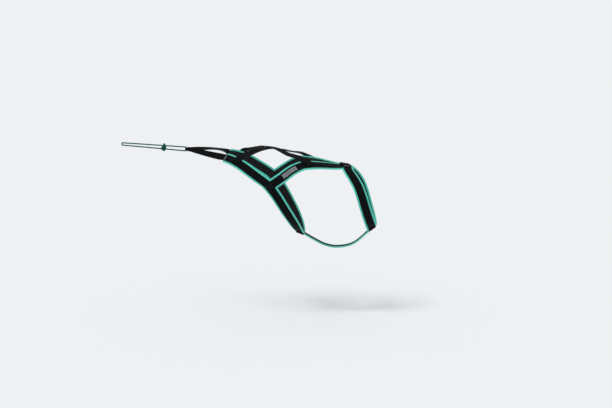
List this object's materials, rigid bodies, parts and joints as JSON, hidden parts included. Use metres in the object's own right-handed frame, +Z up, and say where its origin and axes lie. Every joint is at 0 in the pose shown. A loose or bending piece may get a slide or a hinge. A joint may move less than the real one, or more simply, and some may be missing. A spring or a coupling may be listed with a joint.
{
  "type": "sled dog harness",
  "caption": "X-back sled dog pulling harness of padded straps with bound edges, crossed back webbing and a tug cord loop, in its worn shape.",
  "frame": {"origin": "on the midline at the withers, in the point of the V between the shoulder straps, where the harness lies on its wearer", "axes": "+X forwards to the wearer's head, +Y to the wearer's left, +Z up"},
  "size_m": [0.822, 0.2158, 0.3354],
  "materials": {
    "sleeve_cloth": "matte",
    "binding_tape": "satin",
    "webbing": "satin",
    "reflective_tape": "satin",
    "loop_cord": "satin"
  },
  "bodies": {
    "harness": {"neck_strap_right": "sleeve_cloth", "shoulder_strap_right": "sleeve_cloth", "brace_strap_right": "sleeve_cloth", "flank_strap_right": "sleeve_cloth", "neck_strap_left": "sleeve_cloth", "shoulder_strap_left": "sleeve_cloth", "brace_strap_left": "sleeve_cloth", "flank_strap_left": "sleeve_cloth", "breast_strap": "sleeve_cloth", "neck_binding_right": "binding_tape", "shoulder_binding_right": "binding_tape", "brace_binding_right": "binding_tape", "flank_binding_right": "binding_tape", "neck_binding_left": "binding_tape", "shoulder_binding_left": "binding_tape", "brace_binding_left": "binding_tape", "flank_binding_left": "binding_tape", "breast_binding": "binding_tape", "back_strap_right": "webbing", "back_strap_left": "webbing", "tug_strap_right": "webbing", "tug_strap_left": "webbing", "tug_eye": "webbing", "withers_patch": "webbing", "chest_patch": "webbing", "belly_patch": "webbing", "label_right": "reflective_tape", "label_left": "reflective_tape"},
    "tug_loop": {"tug_cord": "loop_cord"},
    "slider": {"slider_knot": "loop_cord"}
  },
  "joints": [
    {"name": "tug_loop_swing", "type": "hinge", "parent": "harness", "child": "tug_loop", "pos_m": [-0.487, 0, 0.048], "axis": [0.0715, 0, 0.9974], "range_deg": [-80, 80]},
    {"name": "knot_slide", "type": "slide", "parent": "tug_loop", "child": "slider", "axis": [-0.9974, 0, 0.0715], "range_m": [-0.045, 0.119]}
  ]
}
